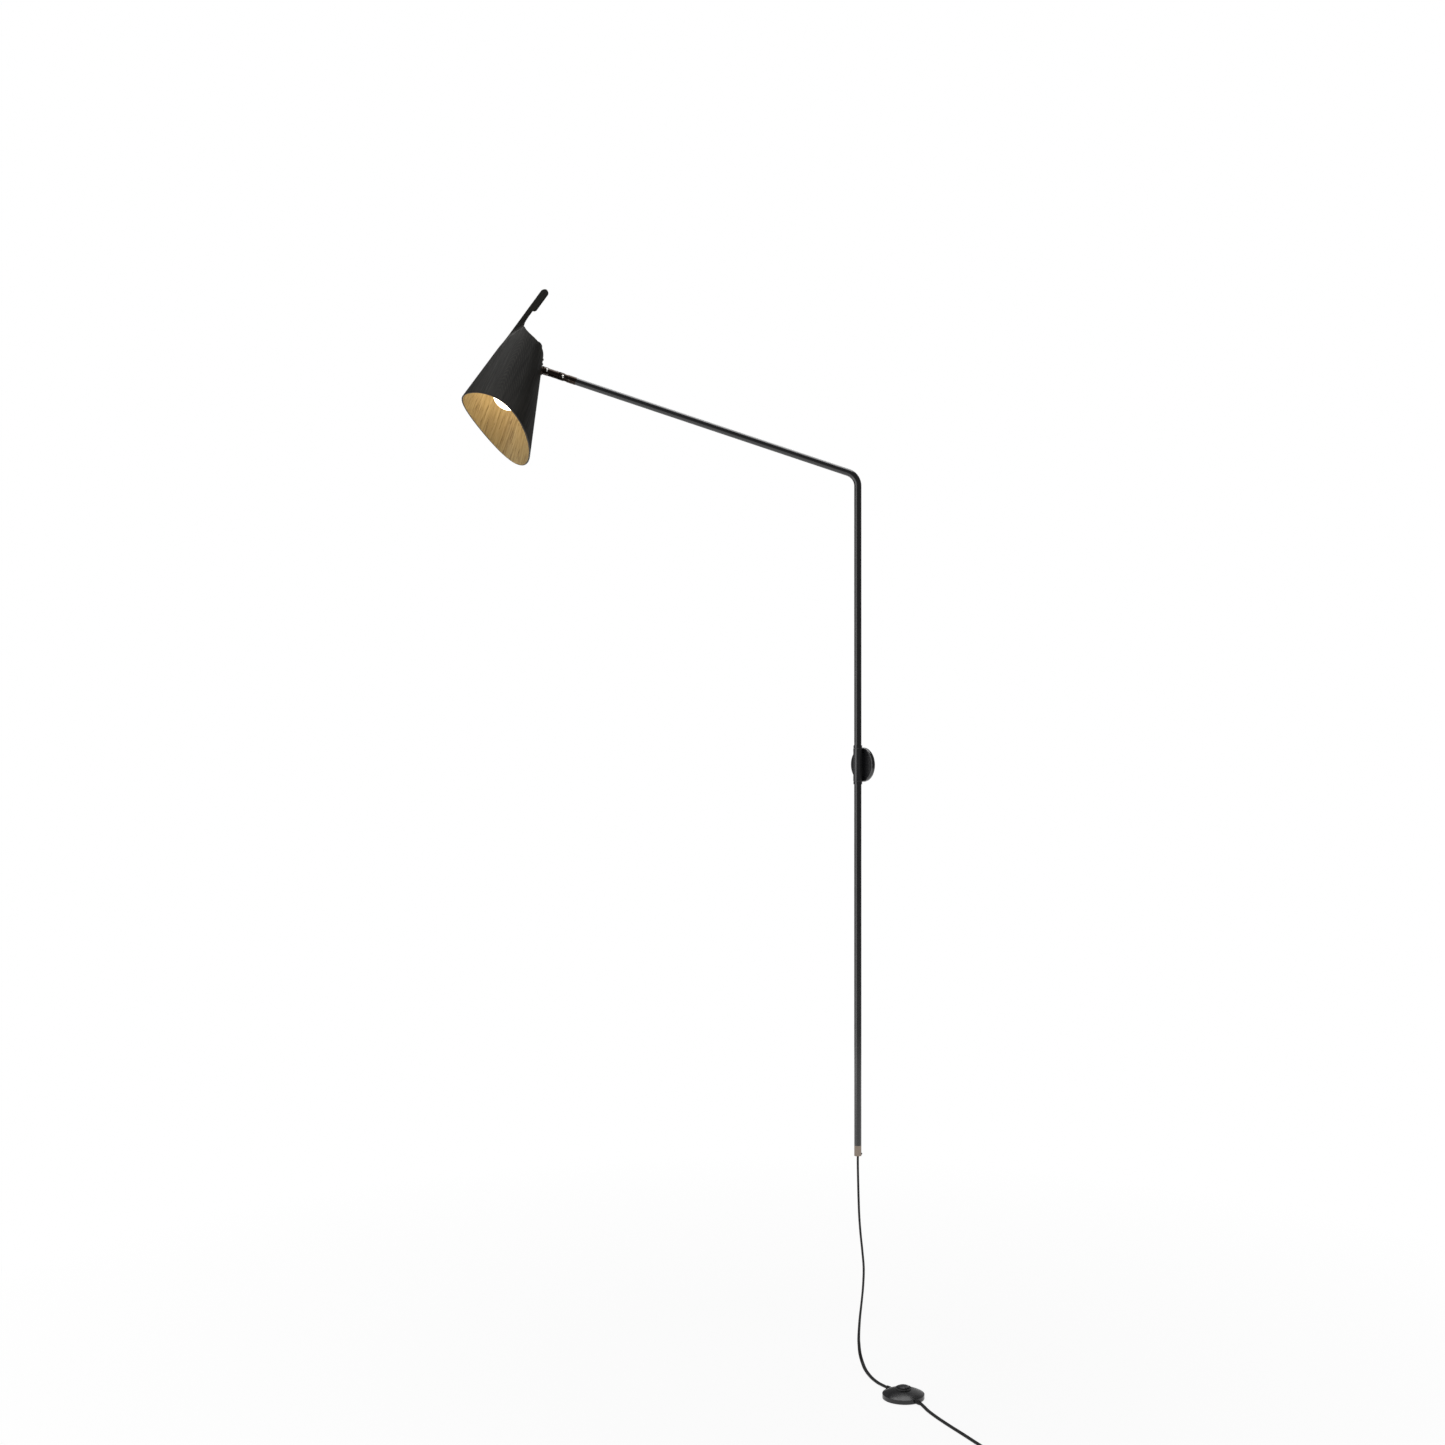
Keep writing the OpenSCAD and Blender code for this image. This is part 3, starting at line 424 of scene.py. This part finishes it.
def shell_skin(rows=110):
    """Outer surface as a grid. Each angle has a column on both sides, from the top edge to the rim."""
    angles, top = around()
    turns = np.interp(angles, FLAT_A, FLAT_TURN)
    sides = [(a, d, t, 1) for a, d, t in zip(angles, top, turns)]
    sides += [(a, d, t, -1) for a, d, t in list(zip(angles, top, turns))[-2:0:-1]]
    grid, places = [], []
    for angle, low, turn, side in sides:
        high = rim_depth(angle)
        for s in np.linspace(0, 1, rows) ** 1.15:
            depth = low + (high - low) * s
            x = depth * SLOPE * cos(angle)
            point = (x, side * float(half_width(x, depth)), -depth)
            grid.append(point)
            places.append(grain_place(point, turn))
    return np.array(grid).reshape(len(sides), rows, 3), places


def skin_normals(grid):
    across = np.roll(grid, -1, axis=0) - np.roll(grid, 1, axis=0)
    along = np.gradient(grid, axis=1)
    normal = np.cross(along, across)
    normal /= np.maximum(np.linalg.norm(normal, axis=2, keepdims=True), 1e-12)
    outwards = np.sign(np.sum(normal[:, -1] * (grid[:, -1] * (1, 1, 0)), axis=1).sum())
    return normal * outwards


def make_shell():
    """The veneer: outer skin, inner skin, and rounded cut edges between them."""
    grid, places = shell_skin()
    columns, rows = grid.shape[:2]
    normal = skin_normals(grid)
    inner = grid - normal * VENEER
    side = np.sign(grid[:, :, 1])
    gap = 0.05 * MM     # between the two halves where they are pinched together
    inner[:, :, 1] = np.where(side * inner[:, :, 1] < gap, side * gap, inner[:, :, 1])
    under_tail = np.abs(grid[:, 0, 2]) < SWEEP_DEPTH + 0.3 * MM
    edges = []
    for row in (0, -1):
        ease = np.full((columns, 1), 0.45 * MM)     # the cut edges are sanded round
        if row == 0:
            ease[under_tail] = 0
        run = grid[:, row] - grid[:, row + (1 if row == 0 else -1)]
        run /= np.linalg.norm(run, axis=1, keepdims=True)
        grid[:, row] -= run * ease
        inner[:, row] -= run * ease
        across = inner[:, row] - grid[:, row]
        edges.append(np.stack([
            grid[:, row] + across * share + run * ease * lift
            for share, lift in ((0.06, 0.7), (0.2, 1), (0.8, 1), (0.94, 0.7))
        ], axis=1))
    top, rim = edges
    points = np.concatenate([grid, rim, inner[:, ::-1], top[:, ::-1]], axis=1)
    total = points.shape[1]
    shade = shade_matrix()
    vertices = [shade @ Vector(p) for p in points.reshape(-1, 3)]
    faces, looks = [], []
    for c in range(columns):
        here, there = c * total, (c + 1) % columns * total
        for r in range(total):
            s = (r + 1) % total
            faces.append((here + r, here + s, there + s, there + r))
            outside, rim_edge, inside = r < rows - 1, r < rows + 4, r < 2 * rows + 3
            looks.append(0 if outside else 2 if rim_edge else 1 if inside else 2)
    piece = new_mesh("veneer_shell", vertices, faces)
    place = np.array(places).reshape(columns, rows, 3)
    last, first = place[:, -1:].repeat(4, axis=1), place[:, :1].repeat(4, axis=1)
    set_grain(piece, np.concatenate([place, last, place[:, ::-1], first], axis=1).reshape(-1, 3))
    piece.data.polygons.foreach_set("material_index", looks)
    return piece


TAIL_W = 0.0145
TAIL_TIP = 0.039        # along the seam from the apex, as TAIL_STEP, NECK_LOW and TAIL_END are
TAIL_STEP = 0.088       # where the tail narrows to its neck
STEP_R = 0.005
NECK_W = 0.0095
NECK_LOW = 0.100        # where the neck starts to widen into the shell
NECK_END = 0.117        # where it is FLARE wider, and goes on widening by SPREAD
FLARE = 1.07 * MM
SPREAD = 0.17
TAIL_END = 0.126        # where the tail's skin has gone into the shell's
TAIL_RING = 48


def tail_edges(g):
    """Distances in from the seam of the tail's outer and inner edge, at distance g from the apex."""
    half = TAIL_W / 2
    tip = TAIL_TIP + half
    if g < tip:
        reach = sqrt(max(0, half ** 2 - (tip - g) ** 2))
        return half - reach, half + reach
    if g < TAIL_STEP - STEP_R:
        return 0, TAIL_W
    if g < TAIL_STEP:
        return 0, NECK_W + sqrt(max(0, STEP_R ** 2 - (g - TAIL_STEP + STEP_R) ** 2))
    flare = max(0, g - NECK_LOW) / (NECK_END - NECK_LOW)
    return 0, NECK_W + min(flare, 1) ** 2 * FLARE + max(0, g - NECK_END) * SPREAD


def tail_rows():
    """Distances from the apex, closer together at the round tip and at the step."""
    tip, step = TAIL_TIP + TAIL_W / 2, TAIL_STEP - STEP_R
    rows = [tip - TAIL_W / 2 * cos(t) for t in np.linspace(0.06, pi / 2, 18)]
    rows += list(np.linspace(tip, step, 14)[1:-1])
    rows += [step + STEP_R * sin(t) for t in np.linspace(0, pi / 2, 12)]
    return rows + list(np.linspace(TAIL_STEP + 0.01 * MM, TAIL_END, 24))


def make_tail():
    """Flat tail, two veneers thick with rounded edges, that the shell runs up into."""
    turn, shade = HALF_ANGLE, shade_matrix()
    points, places = [], []
    rows = tail_rows()
    for g in rows:
        outer, inner = tail_edges(g)
        middle, half = (outer + inner) / 2, (inner - outer) / 2
        sunk = 0.02 * MM - 0.1 * MM * float(smoothstep(0.118, TAIL_END, g))
        for t in np.linspace(0, 2 * pi, TAIL_RING, endpoint=False):
            away = min(abs(cos(t)) ** 0.6, 1) * half
            nose = min((half - away) / min(SEAM_NOSE, half), 1)
            q = middle + (away if cos(t) > 0 else -away)
            y = (VENEER + sunk) * sqrt(1 - (1 - nose) ** 2) * (1 if sin(t) > 0 else -1)
            x, depth = g * sin(turn) - q * cos(turn), g * cos(turn) + q * sin(turn)
            points.append(shade @ Vector((x, y, -depth)))
            places.append((q - 0.075, g, 0))
    piece = new_mesh("veneer_tail", points, tube_faces(len(rows), TAIL_RING))
    set_grain(piece, places)
    return piece


# ---- materials ----

def node(tree, kind, inputs=None, **settings):
    """New node. An input's value is a number, a colour or another node's output."""
    made = tree.nodes.new(kind)
    for key, value in settings.items():
        setattr(made, key, value)
    for key, value in (inputs or {}).items():
        if isinstance(value, bpy.types.NodeSocket):
            tree.links.new(value, made.inputs[key])
        else:
            made.inputs[key].default_value = value
    return made


def new_material(name, sockets):
    material = bpy.data.materials.new(name)
    material.use_nodes = True
    shader = material.node_tree.nodes["Principled BSDF"]
    for key, value in sockets.items():
        shader.inputs[key].default_value = value
    return material, material.node_tree, shader


def grade(tree, value, low, high, to_low, to_high):
    return node(tree, "ShaderNodeMapRange", {
        "Value": value, "From Min": low, "From Max": high, "To Min": to_low, "To Max": to_high,
    }).outputs["Result"]


def blend_colours(tree, share, first, second):
    mix = node(tree, "ShaderNodeMix", data_type="RGBA")
    for index, value in ((0, share), (6, first), (7, second)):
        if isinstance(value, bpy.types.NodeSocket):
            tree.links.new(value, mix.inputs[index])
        else:
            mix.inputs[index].default_value = value
    return mix.outputs[2]


def shade_of(colour, factor):
    return (*(min(1, c * factor) for c in colour), 1)


def finish_look(name, colour, roughness, grain=900, depth=0.02, vary=0.25, rough_vary=0.06,
                stretch=(1, 1, 1), **sockets):
    """Worked metal, paint, plastic or rubber: cloudy colour and gloss, and a fine grain as bump.
    grain is how many grains there are in a metre, and depth is the bump's depth in millimetres."""
    material, tree, shader = new_material(name, sockets)
    place = node(tree, "ShaderNodeTexCoord").outputs["Object"]
    place = node(tree, "ShaderNodeMapping", {"Vector": place, "Scale": stretch}).outputs["Vector"]
    cloud = node(tree, "ShaderNodeTexNoise", {"Vector": place, "Scale": grain / 14, "Detail": 4.0})
    fine = node(tree, "ShaderNodeTexNoise", {
        "Vector": place, "Scale": grain, "Detail": 3.0, "Roughness": 0.6,
    })
    tone = blend_colours(tree, grade(tree, cloud.outputs["Fac"], 0.3, 0.7, 0, 1),
                         shade_of(colour, 1 - vary), shade_of(colour, 1 + vary))
    tree.links.new(tone, shader.inputs["Base Color"])
    rough = grade(tree, cloud.outputs["Fac"], 0.3, 0.7, roughness - rough_vary, roughness + rough_vary)
    tree.links.new(rough, shader.inputs["Roughness"])
    bump = node(tree, "ShaderNodeBump", {
        "Height": fine.outputs["Fac"], "Distance": depth * MM, "Strength": 0.6,
    })
    tree.links.new(bump.outputs["Normal"], shader.inputs["Normal"])
    return material


METAL = {"Metallic": 1.0}


def cad_looks():
    """One look for each of the record's material slots, and a brighter bronze for the bottom ferrule."""
    return {
        "satin_black": finish_look("black_lacquer", (0.009, 0.009, 0.010), 0.24, grain=300, depth=0.002,
                                   rough_vary=0.02, **{"Coat Weight": 0.6, "Coat Roughness": 0.12}),
        "dark_bronze": finish_look("dark_bronze", (0.042, 0.031, 0.025), 0.2, grain=2600, depth=0.006,
                                   stretch=(1, 1, 0.2), **METAL),
        "polished_bronze": finish_look("polished_bronze", (0.25, 0.205, 0.17), 0.12, grain=2600, depth=0.003,
                                       vary=0.1, rough_vary=0.03, stretch=(1, 1, 0.2), **METAL),
        "zinc_steel": finish_look("zinc_steel", (0.62, 0.61, 0.58), 0.22, grain=2400, depth=0.01,
                                  vary=0.12, **METAL),
        "dark_screw": finish_look("dark_screw", (0.12, 0.105, 0.09), 0.24, grain=2600, depth=0.01, **METAL),
        "bush_plastic": finish_look("bush_nylon", (0.05, 0.05, 0.052), 0.42, grain=1800),
        "foot_rubber": finish_look("foot_rubber", (0.018, 0.018, 0.018), 0.75, grain=2200, depth=0.06),
        "switch_black": finish_look("switch_plastic", (0.010, 0.010, 0.011), 0.27, grain=1500, depth=0.012),
        "button_grey": finish_look("button_plastic", (0.022, 0.022, 0.024), 0.26, grain=1500, depth=0.012),
        "porcelain": finish_look("porcelain", (0.78, 0.76, 0.70), 0.2, grain=500, depth=0.03, vary=0.05,
                                 **{"Coat Weight": 0.6, "Coat Roughness": 0.08}),
        "cord_black": finish_look("cord_jacket", (0.010, 0.010, 0.010), 0.45, grain=2000, depth=0.03,
                                  **{"Specular IOR Level": 0.3}),
        "pin_nickel": finish_look("pin_nickel", (0.66, 0.64, 0.6), 0.18, grain=2600, depth=0.006,
                                  vary=0.1, **METAL),
        "base_nickel": finish_look("base_nickel", (0.7, 0.67, 0.6), 0.2, grain=2600, depth=0.008,
                                   vary=0.1, **METAL),
        "brass": finish_look("brass", (0.74, 0.52, 0.22), 0.24, grain=2400, depth=0.008, vary=0.12, **METAL),
        "holder_black": finish_look("holder_plastic", (0.02, 0.019, 0.018), 0.36, grain=1300, depth=0.02),
        "bulb_white": finish_look("bulb_collar", (0.8, 0.79, 0.76), 0.4, grain=900, depth=0.02, vary=0.04),
        "opal_glass": finish_look("opal_glass", (0.9, 0.87, 0.8), 0.25, grain=300, depth=0.005, vary=0.05,
                                  **{"Emission Color": (1, 0.86, 0.62, 1), "Emission Strength": 4.6}),
    }


def wood_base(name, sockets):
    """Material whose streaks run along the grain, in the flat sheet's places."""
    material, tree, shader = new_material(name, sockets)
    place = node(tree, "ShaderNodeAttribute", attribute_name="grain").outputs["Vector"]

    def streaks(scale, detail, rough=0.6):
        stretched = node(tree, "ShaderNodeMapping", {"Vector": place, "Scale": scale}).outputs["Vector"]
        return node(tree, "ShaderNodeTexNoise", {
            "Vector": stretched, "Scale": 1.0, "Detail": detail, "Roughness": rough, "Distortion": 0.35,
        }).outputs["Fac"]

    return tree, shader, material, place, streaks


def arches(tree, place, wobble):
    """Nested arches of the growth rings where the sheet was cut flat, fading out down the sides."""
    axes = node(tree, "ShaderNodeSeparateXYZ", {"Vector": place}).outputs

    def calc(operation, first, second=0.0):
        return node(tree, "ShaderNodeMath", {0: first, 1: second}, operation=operation).outputs[0]

    sideways = calc("MULTIPLY", axes["X"], 2.3)
    spread = calc("SQRT", calc("ADD", calc("MULTIPLY", sideways, sideways), 0.013 ** 2))
    height = calc("ADD", calc("SUBTRACT", axes["Y"], spread), calc("MULTIPLY", wobble, 0.022))
    wave = calc("SINE", calc("MULTIPLY", height, 2 * pi / 0.0095))
    fade_in = grade(tree, axes["Y"], 0.17, 0.20, 0, 1)
    fade_out = grade(tree, axes["Y"], 0.23, 0.33, 1, 0.15)
    strength = calc("MULTIPLY", fade_in, fade_out)
    return calc("MULTIPLY", calc("MULTIPLY_ADD", wave, 0.5), strength)


def stained_look():
    tree, shader, material, place, streaks = wood_base("stained_veneer", {"Specular IOR Level": 0.08})
    broad = streaks((60, 6, 1), 3.0)
    medium = streaks((340, 14, 1), 5.0)
    pores = streaks((1500, 60, 1), 2.0)
    rings = arches(tree, place, broad)
    tone = blend_colours(tree, grade(tree, medium, 0.32, 0.70, 0, 1), (0.005, 0.0047, 0.0040, 1),
                         (0.021, 0.0195, 0.0160, 1))
    tone = blend_colours(tree, grade(tree, broad, 0.3, 0.7, 0, 0.5), tone, (0.016, 0.015, 0.012, 1))
    tone = blend_colours(tree, grade(tree, rings, 0.05, 0.45, 0, 0.75), tone, (0.0040, 0.0038, 0.0034, 1))
    tree.links.new(tone, shader.inputs["Base Color"])
    tree.links.new(grade(tree, medium, 0.3, 0.7, 0.62, 0.46), shader.inputs["Roughness"])
    height = node(tree, "ShaderNodeMath", {0: medium, 1: pores}, operation="ADD").outputs[0]
    bump = node(tree, "ShaderNodeBump", {"Height": height, "Distance": 0.09 * MM, "Strength": 0.5})
    tree.links.new(bump.outputs["Normal"], shader.inputs["Normal"])
    return material


def golden_look():
    tree, shader, material, place, streaks = wood_base("golden_veneer", {"Specular IOR Level": 0.3})
    broad = streaks((45, 5, 1), 3.0)
    medium = streaks((300, 12, 1), 5.0)
    flecks = streaks((520, 34, 1), 3.0, 0.7)
    tone = blend_colours(tree, grade(tree, medium, 0.3, 0.7, 0, 1), (0.22, 0.150, 0.064, 1),
                         (0.43, 0.330, 0.160, 1))
    tone = blend_colours(tree, grade(tree, broad, 0.35, 0.7, 0, 0.45), tone, (0.34, 0.242, 0.100, 1))
    tone = blend_colours(tree, grade(tree, flecks, 0.53, 0.66, 0, 0.85), tone, (0.11, 0.062, 0.024, 1))
    tree.links.new(tone, shader.inputs["Base Color"])
    tree.links.new(grade(tree, medium, 0.3, 0.7, 0.62, 0.48), shader.inputs["Roughness"])
    bump = node(tree, "ShaderNodeBump", {"Height": flecks, "Distance": -0.08 * MM, "Strength": 0.5})
    tree.links.new(bump.outputs["Normal"], shader.inputs["Normal"])
    return material


def edge_look():
    return finish_look("veneer_edge", (0.018, 0.014, 0.011), 0.5, grain=1600, depth=0.03)


def make_shade():
    stained, golden, edge = stained_look(), golden_look(), edge_look()
    shell = make_shell()
    for look in (stained, golden, edge):
        shell.data.materials.append(look)
    tail = make_tail()
    tail.data.materials.append(stained)
    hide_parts("shade_shell")
    for piece in (shell, tail):
        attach(piece, "shade")


def paint_nodes(looks):
    for name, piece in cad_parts.items():
        for place in piece.material_slots:
            slot = "polished_bronze" if name == "bottom_ferrule" else place.material.name.split(".")[0]
            if slot in looks:
                place.material = looks[slot]


# ---- stage: pale floor, soft boxes and a white room ----

FLOOR_MIDDLE = Vector((-0.05, -0.15, FLOOR))
FLOOR_RINGS = [0.25, 0.6, 1.0, 1.6, 2.4, 3.2]


def make_floor():
    """Pale round floor that fades to pure white away from the object."""
    steps = 96
    points = [FLOOR_MIDDLE + Vector((r * cos(2 * pi * i / steps), r * sin(2 * pi * i / steps), 0))
              for r in FLOOR_RINGS for i in range(steps)]
    rings = range(len(FLOOR_RINGS) - 1)
    faces = [f[::-1] for k in rings for f in bridge(k * steps, (k + 1) * steps, steps)]
    faces += [(i, (i + 1) % steps, len(points)) for i in range(steps)]
    floor = new_mesh("floor", points + [FLOOR_MIDDLE], faces)
    material, tree, shader = new_material("floor", {"Roughness": 0.7, "Specular IOR Level": 0.15})
    place = node(tree, "ShaderNodeTexCoord").outputs["Object"]
    grain = node(tree, "ShaderNodeTexNoise", {"Vector": place, "Scale": 180.0, "Detail": 4.0}).outputs["Fac"]
    tone = blend_colours(tree, grain, (0.90, 0.90, 0.90, 1), (0.94, 0.94, 0.94, 1))
    tree.links.new(tone, shader.inputs["Base Color"])
    away = node(tree, "ShaderNodeVectorMath", {0: place, 1: FLOOR_MIDDLE}, operation="DISTANCE")
    glow = node(tree, "ShaderNodeEmission", {"Color": (1, 1, 1, 1), "Strength": 1.0})
    mix = node(tree, "ShaderNodeMixShader")
    tree.links.new(grade(tree, away.outputs["Value"], 0.4, 1.7, 0.9, 1), mix.inputs[0])
    tree.links.new(shader.outputs[0], mix.inputs[1])
    tree.links.new(glow.outputs[0], mix.inputs[2])
    tree.links.new(mix.outputs[0], tree.nodes["Material Output"].inputs["Surface"])
    floor.data.materials.append(material)


def soft_box(name, place, target, width, height, radiance):
    """Rectangular light that faces its target and isn't seen by the camera."""
    data = bpy.data.lights.new(name, "AREA")
    data.shape = "RECTANGLE"
    data.size = width
    data.size_y = height
    data.energy = radiance * pi * width * height
    light = bpy.data.objects.new(name, data)
    light.location = place
    light.rotation_euler = (Vector(place) - Vector(target)).to_track_quat("Z", "Y").to_euler()
    light.visible_camera = False
    scene.collection.objects.link(light)


def make_lights():
    middle = Vector((-0.1, -0.25, -0.1))
    left = TO_CAMERA * cos(radians(62)) - RIGHT * sin(radians(62))
    soft_box("key", middle + left * 2.0, middle, 2.2, 3.0, 1.5)
    soft_box("top", middle + Vector((0, 0, 2.3)) - TO_CAMERA * 0.5, middle, 2.6, 2.2, 3.0)
    right = TO_CAMERA * cos(radians(150)) + RIGHT * sin(radians(150))
    soft_box("edge", middle + right * 2.4, middle, 0.9, 2.6, 0.4)


def make_room():
    """White behind the object to the camera, and grey to what reflects it."""
    world = bpy.data.worlds.new("room")
    world.use_nodes = True
    tree = world.node_tree
    tree.nodes.clear()
    path = node(tree, "ShaderNodeLightPath").outputs
    seen = node(tree, "ShaderNodeBackground", {"Color": (1, 1, 1, 1), "Strength": 1.0})
    room = node(tree, "ShaderNodeBackground", {"Color": (1, 1, 1, 1), "Strength": 0.16})
    mix = node(tree, "ShaderNodeMixShader")
    tree.links.new(path["Is Camera Ray"], mix.inputs[0])
    tree.links.new(room.outputs[0], mix.inputs[1])
    tree.links.new(seen.outputs[0], mix.inputs[2])
    output = node(tree, "ShaderNodeOutputWorld")
    tree.links.new(mix.outputs[0], output.inputs["Surface"])
    scene.world = world
    scene.view_settings.view_transform = "Standard"


make_camera()
fittings = make_fittings()
cords = make_cords()
looks = cad_looks()
for piece in [*cords, *fittings.values()]:
    piece.data.materials.append(looks["switch_black" if piece.name == "plug_shell" else "cord_black"])
make_shade()
paint_nodes(looks)
make_floor()
make_lights()
make_room()
